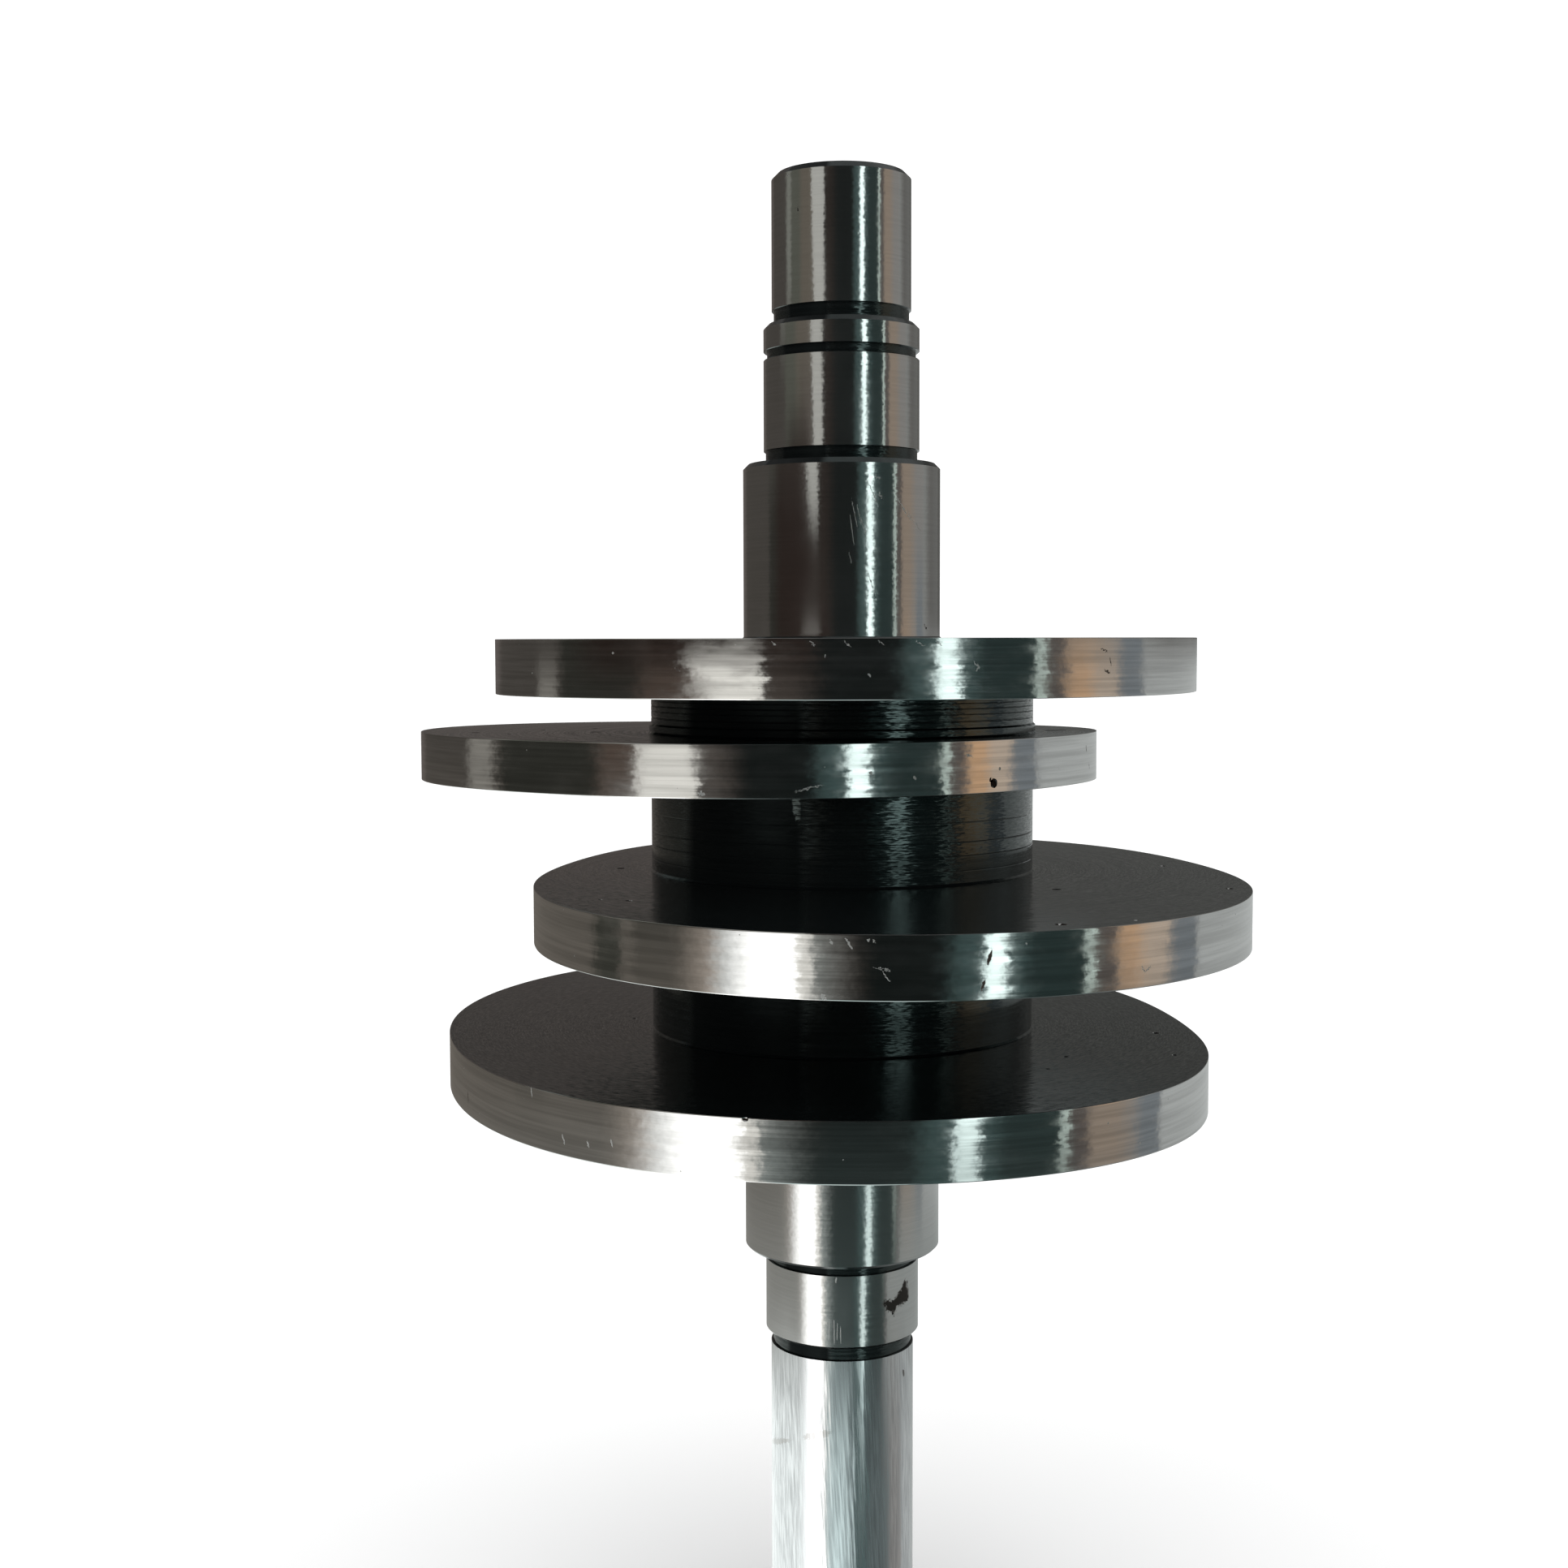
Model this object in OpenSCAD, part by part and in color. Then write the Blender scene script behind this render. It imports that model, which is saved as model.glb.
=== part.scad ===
// Plate camshaft: a shaft, a hub and four plate cams turned and milled from one bar of steel.
// The shaft stands on its lower end, with its axis along +Z. All sizes are in millimetres.

/* [Lower end] */
// Diameter of the lower shaft
tail_d = 28; // [24:0.5:29]
// Length of the lower shaft, from its end to the lower bearing seat
tail_len = 61; // [40:1:140]
// Diameter of the lower bearing seat
lower_seat_d = 30; // [29.5:0.1:35]
// Length of the lower bearing seat, up to the journal's shoulder
lower_seat_len = 16.8; // [10:0.2:30]
// Diameter of the lower journal
lower_journal_d = 38; // [36:0.5:50]
// Length of the lower journal
lower_journal_len = 33.6; // [10:0.2:60]

/* [Upper end] */
// Diameter of the upper journal
upper_journal_d = 38; // [36:0.5:50]
// Length of the upper journal
upper_journal_len = 33.4; // [10:0.2:60]
// Diameter of the upper bearing seat
upper_seat_d = 30; // [29:0.1:35]
// Length of the upper bearing seat, from the journal's shoulder to the snap ring groove
upper_seat_len = 19.8; // [10:0.2:30]
// Width of the snap ring groove
ring_groove_w = 1.6; // [1.1:0.1:2.6]
// Depth of the snap ring groove
ring_groove_depth = 0.7; // [0.4:0.1:1.2]
// Length of the collar above the snap ring groove
collar_len = 5.2; // [3:0.2:10]
// Width of the relief groove between the collar and the drive stub
stub_relief_w = 2.5; // [1:0.1:4]
// Diameter of the drive stub
stub_d = 26.8; // [20:0.2:28.6]
// Length of the drive stub
stub_len = 25.9; // [12:0.1:60]

/* [Hub] */
// Diameter of the hub that carries the cams
hub_d = 74; // [60:1:80]
// Clear height between cam 4 and cam 3
gap_3_4 = 20.4; // [8:0.2:40]
// Clear height between cam 3 and cam 2
gap_2_3 = 17.2; // [8:0.2:40]
// Clear height between cam 2 and cam 1
gap_1_2 = 7.8; // [4:0.2:40]
// Thickness of the foot ring that stands out round the hub over cam 2
foot_ring_t = 0.4; // [0.2:0.1:1]
// Height of the hub's foot ring over cam 2
foot_ring_h = 1.5; // [0.5:0.1:3]

/* [Edges and grooves] */
// Depth of the relief grooves beside the ground seats
relief_depth = 0.4; // [0.2:0.1:0.8]
// Width of the relief grooves beside the journals' shoulders
shoulder_relief_w = 2.4; // [1:0.1:4]
// Width of the relief groove under the lower bearing seat
tail_relief_w = 2.5; // [1:0.1:4]
// Chamfer on the shaft's two ends
end_chamfer = 1.2; // [0.5:0.1:2]
// Chamfer on the shoulders and collars
shoulder_chamfer = 1; // [0.4:0.1:1.2]
// Chamfer on the lower edge of the lower journal and of the lower bearing seat
lower_chamfer = 0.5; // [0.2:0.1:1]
// Edge break on the rims of the cams
cam_break = 0.6; // [0.3:0.1:1.2]
// Mouth diameter of the centre holes in the two ends
centre_mouth_d = 6.7; // [4:0.1:10]
// Pilot diameter of the centre holes
centre_pilot_d = 3.15; // [2:0.05:3.6]
// Depth of the centre holes' pilot, beyond the cone
centre_pilot_depth = 4; // [2:0.5:8]

/* [Cam 1, top] */
// Thickness of cam 1
cam_1_t = 10.2; // [8:0.1:14]
// Mean radius of cam 1
cam_1_mean = 71.7; // [66:0.1:80]
// Throw of cam 1: how far its outline is set off the axis
cam_1_throw = 9.3; // [2:0.1:14]
// Direction of the throw of cam 1
cam_1_throw_angle = 71; // [0:1:359]
// Ovality of cam 1: half the difference of its long and short radii
cam_1_oval = 5.4; // [0:0.1:8]
// Direction of the long axis of cam 1
cam_1_oval_angle = 71; // [0:1:179]
// Height of the three lobes on cam 1
cam_1_lobe = 1.9; // [0:0.1:3]
// Direction of the first lobe of cam 1
cam_1_lobe_angle = 79; // [0:1:119]
// Height of the four slight waves on cam 1
cam_1_four = 0.7; // [0:0.1:1.5]
// Direction of the first of the four waves of cam 1
cam_1_four_angle = 33; // [0:1:89]
// Height of the five slight waves on cam 1
cam_1_five = 0.6; // [0:0.1:1.2]
// Direction of the first of the five waves of cam 1
cam_1_five_angle = 51; // [0:1:71]

/* [Cam 2] */
// Thickness of cam 2
cam_2_t = 9.4; // [8:0.1:14]
// Mean radius of cam 2
cam_2_mean = 57.2; // [56:0.1:70]
// Throw of cam 2
cam_2_throw = 15.8; // [4:0.1:17]
// Direction of the throw of cam 2
cam_2_throw_angle = 172; // [0:1:359]
// Ovality of cam 2
cam_2_oval = 8.3; // [0:0.1:8.6]
// Direction of the long axis of cam 2
cam_2_oval_angle = 172; // [0:1:179]
// Height of the three lobes on cam 2
cam_2_lobe = 3.3; // [0:0.1:4.8]
// Direction of the first lobe of cam 2
cam_2_lobe_angle = 32; // [0:1:119]
// Height of the four slight waves on cam 2
cam_2_four = 0.6; // [0:0.1:1.5]
// Direction of the first of the four waves of cam 2
cam_2_four_angle = 80; // [0:1:89]
// Height of the five slight waves on cam 2
cam_2_five = 0.7; // [0:0.1:1.2]
// Direction of the first of the five waves of cam 2
cam_2_five_angle = 19; // [0:1:71]

/* [Cam 3] */
// Thickness of cam 3
cam_3_t = 10.2; // [8:0.1:14]
// Mean radius of cam 3
cam_3_mean = 73.1; // [68:0.1:84]
// Throw of cam 3
cam_3_throw = 14.4; // [4:0.1:18]
// Direction of the throw of cam 3
cam_3_throw_angle = 306; // [0:1:359]
// Ovality of cam 3
cam_3_oval = 9.5; // [0:0.1:11]
// Direction of the long axis of cam 3
cam_3_oval_angle = 94; // [0:1:179]
// Height of the three lobes on cam 3
cam_3_lobe = 0.8; // [0:0.1:3]
// Direction of the first lobe of cam 3
cam_3_lobe_angle = 42; // [0:1:119]
// Height of the four slight waves on cam 3
cam_3_four = 0.2; // [0:0.1:1.5]
// Direction of the first of the four waves of cam 3
cam_3_four_angle = 30; // [0:1:89]
// Height of the five slight waves on cam 3
cam_3_five = 0.3; // [0:0.1:1.2]
// Direction of the first of the five waves of cam 3
cam_3_five_angle = 41; // [0:1:71]

/* [Cam 4, bottom] */
// Thickness of cam 4
cam_4_t = 10.2; // [8:0.1:14]
// Mean radius of cam 4
cam_4_mean = 80.1; // [70:0.1:88]
// Throw of cam 4
cam_4_throw = 5.2; // [2:0.1:12]
// Direction of the throw of cam 4
cam_4_throw_angle = 162; // [0:1:359]
// Ovality of cam 4
cam_4_oval = 9.1; // [0:0.1:11]
// Direction of the long axis of cam 4
cam_4_oval_angle = 101; // [0:1:179]
// Height of the three lobes on cam 4
cam_4_lobe = 0.9; // [0:0.1:3]
// Direction of the first lobe of cam 4
cam_4_lobe_angle = 91; // [0:1:119]
// Height of the four slight waves on cam 4
cam_4_four = 0.3; // [0:0.1:1.5]
// Direction of the first of the four waves of cam 4
cam_4_four_angle = 27; // [0:1:89]
// Height of the five slight waves on cam 4
cam_4_five = 0.4; // [0:0.1:1.2]
// Direction of the first of the five waves of cam 4
cam_4_five_angle = 25; // [0:1:71]

/* [Hidden] */

// Half of the centre drill's 60 degree point
centre_cone_half = 30;
// Angle between neighbouring points of a cam outline
cam_step = 2.5;
$fn = 96;

// Heights of the steps, one on top of the other
lower_seat_z = tail_len;
lower_journal_z = lower_seat_z + lower_seat_len;
cam_4_z = lower_journal_z + lower_journal_len;
cam_3_z = cam_4_z + cam_4_t + gap_3_4;
cam_2_z = cam_3_z + cam_3_t + gap_2_3;
foot_ring_z = cam_2_z + cam_2_t;
cam_1_z = foot_ring_z + gap_1_2;
upper_journal_z = cam_1_z + cam_1_t;
upper_seat_z = upper_journal_z + upper_journal_len;
ring_groove_z = upper_seat_z + upper_seat_len;
collar_z = ring_groove_z + ring_groove_w;
stub_relief_z = collar_z + collar_len;
stub_z = stub_relief_z + stub_relief_w;
top_z = stub_z + stub_len;

steel = [0.72, 0.73, 0.74];
blackened = [0.13, 0.12, 0.12];

// Profile of one turned step, from z0 up to z1, with a chamfer at each end
function step_profile(d, z0, z1, low = 0, high = 0) = concat(
    low > 0 ? [[d / 2 - low, z0], [d / 2, z0 + low]] : [[d / 2, z0]],
    high > 0 ? [[d / 2, z1 - high], [d / 2 - high, z1]] : [[d / 2, z1]]
);

// The shaft from its lower end up to cam 4
lower_profile = concat(
    step_profile(tail_d, 0, lower_seat_z - tail_relief_w, low = end_chamfer),
    step_profile(tail_d - 2 * relief_depth, lower_seat_z - tail_relief_w, lower_seat_z),
    step_profile(lower_seat_d, lower_seat_z, lower_journal_z - shoulder_relief_w, low = lower_chamfer),
    step_profile(lower_seat_d - 2 * relief_depth, lower_journal_z - shoulder_relief_w, lower_journal_z),
    step_profile(lower_journal_d, lower_journal_z, cam_4_z, low = lower_chamfer)
);

// The shaft from cam 1 up to its upper end
upper_profile = concat(
    step_profile(upper_journal_d, upper_journal_z, upper_seat_z, high = shoulder_chamfer),
    step_profile(upper_seat_d - 2 * relief_depth, upper_seat_z, upper_seat_z + shoulder_relief_w),
    step_profile(upper_seat_d, upper_seat_z + shoulder_relief_w, ring_groove_z),
    step_profile(upper_seat_d - 2 * ring_groove_depth, ring_groove_z, collar_z),
    step_profile(upper_seat_d, collar_z, stub_relief_z, high = shoulder_chamfer),
    step_profile(stub_d - 2 * relief_depth, stub_relief_z, stub_z),
    step_profile(stub_d, stub_z, top_z, high = end_chamfer)
);

// Ground steps of the shaft and the blackened hub between them, as one turned outline
module turned_shaft() {
    rotate_extrude()
        polygon(concat(
            [[0, 0]],
            lower_profile,
            step_profile(hub_d, cam_4_z, foot_ring_z),
            step_profile(hub_d + 2 * foot_ring_t, foot_ring_z, foot_ring_z + foot_ring_h),
            step_profile(hub_d, foot_ring_z + foot_ring_h, upper_journal_z),
            upper_profile,
            [[0, top_z]]
        ));
}

// Centre hole for turning and grinding, drilled up into the face at z = 0
module centre_hole() {
    cone_depth = (centre_mouth_d - centre_pilot_d) / 2 / tan(centre_cone_half);
    cylinder(h = cone_depth, d1 = centre_mouth_d, d2 = centre_pilot_d);
    cylinder(h = cone_depth + centre_pilot_depth, d = centre_pilot_d);
}

// Radius of a cam at angle a: a mean circle and its waves, from the throw's single wave to the five slight
// ones. Each wave is given by its height and its direction.
function cam_radius(a, mean, waves, count = 1) =
    count > len(waves)
        ? mean
        : cam_radius(a, mean, waves, count + 1)
            + waves[count - 1][0] * cos(count * (a - waves[count - 1][1]));

// Plate cam with broken edges, standing on the plane z
module cam_plate(z, t, mean, waves) {
    outline = [for (a = [0:cam_step:360 - cam_step]) cam_radius(a, mean, waves) * [cos(a), sin(a)]];
    edge_scale = (mean - cam_break) / mean;
    color(steel)
        translate([0, 0, z]) {
            translate([0, 0, cam_break])
                linear_extrude(height = t - 2 * cam_break)
                    polygon(outline);
            translate([0, 0, t - cam_break])
                linear_extrude(height = cam_break, scale = edge_scale)
                    polygon(outline);
            translate([0, 0, cam_break])
                mirror([0, 0, 1])
                    linear_extrude(height = cam_break, scale = edge_scale)
                        polygon(outline);
        }
}

module cam_1() {
    cam_plate(cam_1_z, cam_1_t, cam_1_mean, [
        [cam_1_throw, cam_1_throw_angle],
        [cam_1_oval, cam_1_oval_angle],
        [cam_1_lobe, cam_1_lobe_angle],
        [cam_1_four, cam_1_four_angle],
        [cam_1_five, cam_1_five_angle]
    ]);
}

module cam_2() {
    cam_plate(cam_2_z, cam_2_t, cam_2_mean, [
        [cam_2_throw, cam_2_throw_angle],
        [cam_2_oval, cam_2_oval_angle],
        [cam_2_lobe, cam_2_lobe_angle],
        [cam_2_four, cam_2_four_angle],
        [cam_2_five, cam_2_five_angle]
    ]);
}

module cam_3() {
    cam_plate(cam_3_z, cam_3_t, cam_3_mean, [
        [cam_3_throw, cam_3_throw_angle],
        [cam_3_oval, cam_3_oval_angle],
        [cam_3_lobe, cam_3_lobe_angle],
        [cam_3_four, cam_3_four_angle],
        [cam_3_five, cam_3_five_angle]
    ]);
}

module cam_4() {
    cam_plate(cam_4_z, cam_4_t, cam_4_mean, [
        [cam_4_throw, cam_4_throw_angle],
        [cam_4_oval, cam_4_oval_angle],
        [cam_4_lobe, cam_4_lobe_angle],
        [cam_4_four, cam_4_four_angle],
        [cam_4_five, cam_4_five_angle]
    ]);
}

// The whole camshaft is one piece of steel
module camshaft() {
    color(blackened)
        difference() {
            turned_shaft();
            centre_hole();
            translate([0, 0, top_z])
                mirror([0, 0, 1])
                    centre_hole();
        }
    cam_1();
    cam_2();
    cam_3();
    cam_4();
}

camshaft();
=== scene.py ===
import math

import bmesh
import bpy
from mathutils import Matrix, Vector


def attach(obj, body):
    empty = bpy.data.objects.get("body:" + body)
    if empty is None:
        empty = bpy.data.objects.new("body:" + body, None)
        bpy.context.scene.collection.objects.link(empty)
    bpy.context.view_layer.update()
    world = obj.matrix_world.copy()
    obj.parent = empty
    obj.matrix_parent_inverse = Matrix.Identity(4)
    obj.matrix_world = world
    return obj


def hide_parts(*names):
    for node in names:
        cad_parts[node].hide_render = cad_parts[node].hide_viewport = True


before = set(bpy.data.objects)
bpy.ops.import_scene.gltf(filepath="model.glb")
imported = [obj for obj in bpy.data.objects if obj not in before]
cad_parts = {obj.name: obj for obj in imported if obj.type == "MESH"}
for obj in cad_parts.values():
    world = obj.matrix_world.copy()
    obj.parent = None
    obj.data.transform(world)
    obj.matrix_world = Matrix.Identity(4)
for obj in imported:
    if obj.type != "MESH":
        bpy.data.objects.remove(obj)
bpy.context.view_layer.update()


# The camshaft. One bar of steel, turned between centres: a thick hub in the middle, with a journal, a
# bearing seat and a shaft end on each side. Four flat plate cams are milled out of the hub's stock.
# The sizes are in millimetres and stand for the same steps as the solid's.
MM = 0.001
COLUMNS = 432

TAIL_R = 14.0
SEAT_R = 15.0
JOURNAL_R = 19.0
HUB_R = 37.0
STUB_R = 13.4
RELIEF_DEPTH = 0.4
RING_GROOVE_DEPTH = 0.7
CENTRE_MOUTH_R = 3.35
CENTRE_PILOT_R = 1.575
CENTRE_CONE_DEPTH = 3.07
CENTRE_PILOT_DEPTH = 4.0
END_CHAMFER = 1.2
SHOULDER_CHAMFER = 1.0
LOWER_CHAMFER = 0.5
SHARP_EDGE = 0.12

TAIL_TOP = 58.5
LOWER_SEAT_Z = 61.0
LOWER_SEAT_TOP = 75.4
LOWER_JOURNAL_Z = 77.8
FOOT_RING_Z = 178.8
FOOT_RING_H = 1.5
FOOT_RING_T = 0.4
UPPER_JOURNAL_Z = 196.8
UPPER_SEAT_Z = 230.2
UPPER_SEAT_FOOT = 232.6
RING_GROOVE_Z = 250.0
COLLAR_Z = 251.6
STUB_RELIEF_Z = 256.8
STUB_Z = 259.3
TOP_Z = 285.2

# Each cam's lower face, thickness and mean radius, then its waves from one to five round the cam. A wave
# has its height and its direction, counted from +X and counter-clockwise from above.
CAMS = {
    "cam_4": (111.4, 10.2, 80.1, ((5.2, 162), (9.1, 101), (0.9, 91), (0.3, 27), (0.4, 25))),
    "cam_3": (142.0, 10.2, 73.1, ((14.4, 306), (9.5, 94), (0.8, 42), (0.2, 30), (0.3, 41))),
    "cam_2": (169.4, 9.4, 57.2, ((15.8, 172), (8.3, 172), (3.3, 32), (0.6, 80), (0.7, 19))),
    "cam_1": (186.6, 10.2, 71.7, ((9.3, 71), (5.4, 71), (1.9, 79), (0.7, 33), (0.6, 51))),
}
# A cam's edges are rounded by its break. The middle of the round stays a share of it in from both faces,
# and a narrow even strip beside it keeps the shading of the wide faces flat.
CAM_BREAK = 0.09
BREAK_MIDDLE = 0.3
RIM_SUPPORT = 0.18
FOOT_FILLET = 0.35
# The turning tool's deeper marks on the hub between two cams: height, width and depth. Each has a flat
# bottom between two shares of its width, and a narrow even strip above and below it.
TOOL_MARKS_2_3 = [
    (154.6, 0.2, 0.03),
    (157.3, 0.2, 0.03),
    (159.8, 0.2, 0.04),
    (163.4, 0.2, 0.03),
]
TOOL_MARKS_1_2 = [
    (181.6, 0.3, 0.1),
    (182.9, 0.2, 0.05),
    (183.9, 0.25, 0.07),
    (184.9, 0.2, 0.05),
    (185.8, 0.2, 0.05),
]
TOOL_MARK_FLAT_FROM = 0.4
TOOL_MARK_FLAT_TO = 0.6
TOOL_MARK_SUPPORT = 0.07


def cam_radius(cam, angle):
    """Radius of a cam's outline at an angle in degrees."""
    mean, waves = CAMS[cam][2:]
    return mean + sum(
        height * math.cos(count * math.radians(angle - direction))
        for count, (height, direction) in enumerate(waves, start=1)
    )


def cam_levels(cam):
    """Heights of a cam's lower and upper face."""
    low_z, thickness = CAMS[cam][:2]
    return low_z, low_z + thickness


def draw_to(height, radius_at):
    """Extrudes the bar's open end to a height, and out or in to the radius that each angle has there."""
    bpy.ops.mesh.extrude_region_move()
    body = bmesh.from_edit_mesh(bpy.context.object.data)
    for vertex in body.verts:
        if vertex.select:
            angle = math.atan2(vertex.co.y, vertex.co.x)
            radius = radius_at(math.degrees(angle)) * MM
            vertex.co = (radius * math.cos(angle), radius * math.sin(angle), height * MM)
    bmesh.update_edit_mesh(bpy.context.object.data)


def turn_to(radius, height):
    """Draws the bar's open end on to the next circle of its turned outline."""
    draw_to(height, lambda angle: radius)


def mill_to(cam, inset, height):
    """Draws the bar's open end on to a cam's outline, set in by some millimetres."""
    draw_to(height, lambda angle: cam_radius(cam, angle) - inset)


def turn_step(radius, low_z, high_z, low_break=SHARP_EDGE, high_break=SHARP_EDGE):
    """A cylindrical step with a broken edge at each end."""
    turn_to(radius - low_break, low_z)
    turn_to(radius, low_z + low_break)
    turn_to(radius, high_z - high_break)
    turn_to(radius - high_break, high_z)


def turn_groove(radius, low_z, high_z):
    """A relief or ring groove with square walls."""
    turn_to(radius, low_z)
    turn_to(radius, high_z)


def mill_cam(cam):
    """A plate cam: its lower face outwards, its rim with rounded edges, and its upper face back in."""
    low_z, high_z = cam_levels(cam)
    middle = CAM_BREAK * BREAK_MIDDLE
    edge = [(RIM_SUPPORT, 0), (CAM_BREAK, 0), (middle, middle), (0, CAM_BREAK), (0, RIM_SUPPORT)]
    for inset, rise in edge:
        mill_to(cam, inset, low_z + rise)
    for inset, rise in reversed(edge):
        mill_to(cam, inset, high_z - rise)


def turn_hub(radius, low_z, high_z, tool_marks=()):
    """The hub between two cams, with a small fillet at its foot and the tool's deeper marks."""
    turn_to(radius + FOOT_FILLET, low_z)
    turn_to(radius, low_z + FOOT_FILLET)
    for mark_z, width, depth in tool_marks:
        turn_to(radius, mark_z - TOOL_MARK_SUPPORT)
        turn_to(radius, mark_z)
        turn_to(radius - depth, mark_z + width * TOOL_MARK_FLAT_FROM)
        turn_to(radius - depth, mark_z + width * TOOL_MARK_FLAT_TO)
        turn_to(radius, mark_z + width)
        turn_to(radius, mark_z + width + TOOL_MARK_SUPPORT)
    turn_to(radius, high_z)


# The bar grows from the bottom of its lower centre hole to the bottom of its upper one.
bpy.ops.object.select_all(action="DESELECT")
bpy.ops.mesh.primitive_circle_add(
    vertices=COLUMNS,
    radius=CENTRE_PILOT_R * MM,
    fill_type="NGON",
    location=(0, 0, (CENTRE_CONE_DEPTH + CENTRE_PILOT_DEPTH) * MM),
)
camshaft = bpy.context.object
camshaft.name = camshaft.data.name = "turned_camshaft"
bpy.ops.object.transform_apply(location=True)
bpy.ops.object.mode_set(mode="EDIT")
bpy.ops.mesh.select_all(action="SELECT")

turn_to(CENTRE_PILOT_R, CENTRE_CONE_DEPTH)
turn_to(CENTRE_MOUTH_R, 0)
turn_step(TAIL_R, 0, TAIL_TOP, low_break=END_CHAMFER)
turn_groove(TAIL_R - RELIEF_DEPTH, TAIL_TOP, LOWER_SEAT_Z)
turn_step(SEAT_R, LOWER_SEAT_Z, LOWER_SEAT_TOP, low_break=LOWER_CHAMFER)
turn_groove(SEAT_R - RELIEF_DEPTH, LOWER_SEAT_TOP, LOWER_JOURNAL_Z)
turn_to(JOURNAL_R - LOWER_CHAMFER, LOWER_JOURNAL_Z)
turn_to(JOURNAL_R, LOWER_JOURNAL_Z + LOWER_CHAMFER)
turn_to(JOURNAL_R, cam_levels("cam_4")[0])

mill_cam("cam_4")
turn_hub(HUB_R, cam_levels("cam_4")[1], cam_levels("cam_3")[0])
mill_cam("cam_3")
turn_hub(HUB_R, cam_levels("cam_3")[1], cam_levels("cam_2")[0], TOOL_MARKS_2_3)
mill_cam("cam_2")
turn_hub(HUB_R + FOOT_RING_T, FOOT_RING_Z, FOOT_RING_Z + FOOT_RING_H)
turn_hub(HUB_R, FOOT_RING_Z + FOOT_RING_H, cam_levels("cam_1")[0], TOOL_MARKS_1_2)
mill_cam("cam_1")

turn_to(JOURNAL_R + FOOT_FILLET, UPPER_JOURNAL_Z)
turn_to(JOURNAL_R, UPPER_JOURNAL_Z + FOOT_FILLET)
turn_to(JOURNAL_R, UPPER_SEAT_Z - SHOULDER_CHAMFER)
turn_to(JOURNAL_R - SHOULDER_CHAMFER, UPPER_SEAT_Z)
turn_groove(SEAT_R - RELIEF_DEPTH, UPPER_SEAT_Z, UPPER_SEAT_FOOT)
turn_step(SEAT_R, UPPER_SEAT_FOOT, RING_GROOVE_Z)
turn_groove(SEAT_R - RING_GROOVE_DEPTH, RING_GROOVE_Z, COLLAR_Z)
turn_step(SEAT_R, COLLAR_Z, STUB_RELIEF_Z, high_break=SHOULDER_CHAMFER)
turn_groove(STUB_R - RELIEF_DEPTH, STUB_RELIEF_Z, STUB_Z)
turn_step(STUB_R, STUB_Z, TOP_Z, high_break=END_CHAMFER)
turn_to(CENTRE_MOUTH_R, TOP_Z)
turn_to(CENTRE_PILOT_R, TOP_Z - CENTRE_CONE_DEPTH)
turn_to(CENTRE_PILOT_R, TOP_Z - CENTRE_CONE_DEPTH - CENTRE_PILOT_DEPTH)

bpy.ops.mesh.select_all(action="SELECT")
bpy.ops.mesh.normals_make_consistent(inside=False)
bpy.ops.object.mode_set(mode="OBJECT")

# Small pits and chips, cut with round cutters. Each has its cam, its side in degrees, with 0 towards the
# camera and growing to its right, its height, its distance from the axis and its width. RIM stands for
# the cam's outline at that side.
RIM = None
PITS = [
    ("cam_2", 34.9, 171.1, RIM, 1.9),
    ("cam_2", 34.0, 171.7, RIM, 1.0),
    ("cam_2", 36.7, 173.6, RIM, 0.6),
    ("cam_2", -88.0, 178.8, 70.9, 2.1),
    ("cam_2", -89.0, 178.8, 47.8, 2.3),
    ("cam_2", -100.0, 178.8, 60.0, 1.5),
    ("cam_2", -82.0, 178.8, 64.0, 1.3),
    ("cam_2", -108.0, 178.8, 52.0, 1.3),
    ("cam_2", 91.5, 178.8, 41.0, 3.0),
    ("cam_2", 95.0, 178.8, 43.5, 2.1),
    ("cam_3", -88.6, 152.2, 43.1, 1.9),
    ("cam_3", -35.6, 152.2, 64.8, 1.5),
    ("cam_3", -40.0, 152.2, 66.5, 0.9),
    ("cam_3", 44.4, 152.2, 53.0, 1.9),
    ("cam_3", 20.7, 152.2, 89.9, 2.1),
    ("cam_3", 90.7, 152.2, 62.9, 1.3),
    ("cam_3", 61.2, 152.2, 77.5, 1.7),
    ("cam_3", 29.1, 152.2, 91.0, 0.9),
    ("cam_4", -96.5, 121.6, 41.3, 1.1),
    ("cam_4", 48.4, 121.6, 52.6, 1.1),
    ("cam_4", 37.2, 121.6, 57.4, 0.9),
    ("cam_4", 78.3, 121.6, 60.7, 1.5),
    ("cam_4", 60.3, 121.6, 68.0, 1.1),
    ("cam_4", -11.9, 121.5, RIM, 1.2),
]
# As shares of the pit's width: the cutter's radius, and how far its middle stays outside the surface
CUTTER_R = 0.6
CUTTER_OUT = 0.35
CUTTER_ROUNDNESS = 2
cutters = []
for cam, side, height, distance, width in PITS:
    angle = math.radians(side - 90)
    if distance is RIM:
        reach = cam_radius(cam, side - 90) + CUTTER_OUT * width
    else:
        reach = distance
        height += CUTTER_OUT * width
    bpy.ops.mesh.primitive_ico_sphere_add(
        subdivisions=CUTTER_ROUNDNESS,
        radius=width * CUTTER_R * MM,
        location=(reach * math.cos(angle) * MM, reach * math.sin(angle) * MM, height * MM),
    )
    cutters.append(bpy.context.object)
bpy.ops.object.select_all(action="DESELECT")
for cutter in cutters:
    cutter.select_set(True)
bpy.context.view_layer.objects.active = cutters[0]
bpy.ops.object.join()
pit_cutter = bpy.context.object
bpy.ops.object.select_all(action="DESELECT")
camshaft.select_set(True)
bpy.context.view_layer.objects.active = camshaft
pits = camshaft.modifiers.new("pits", "BOOLEAN")
pits.operation = "DIFFERENCE"
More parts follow.
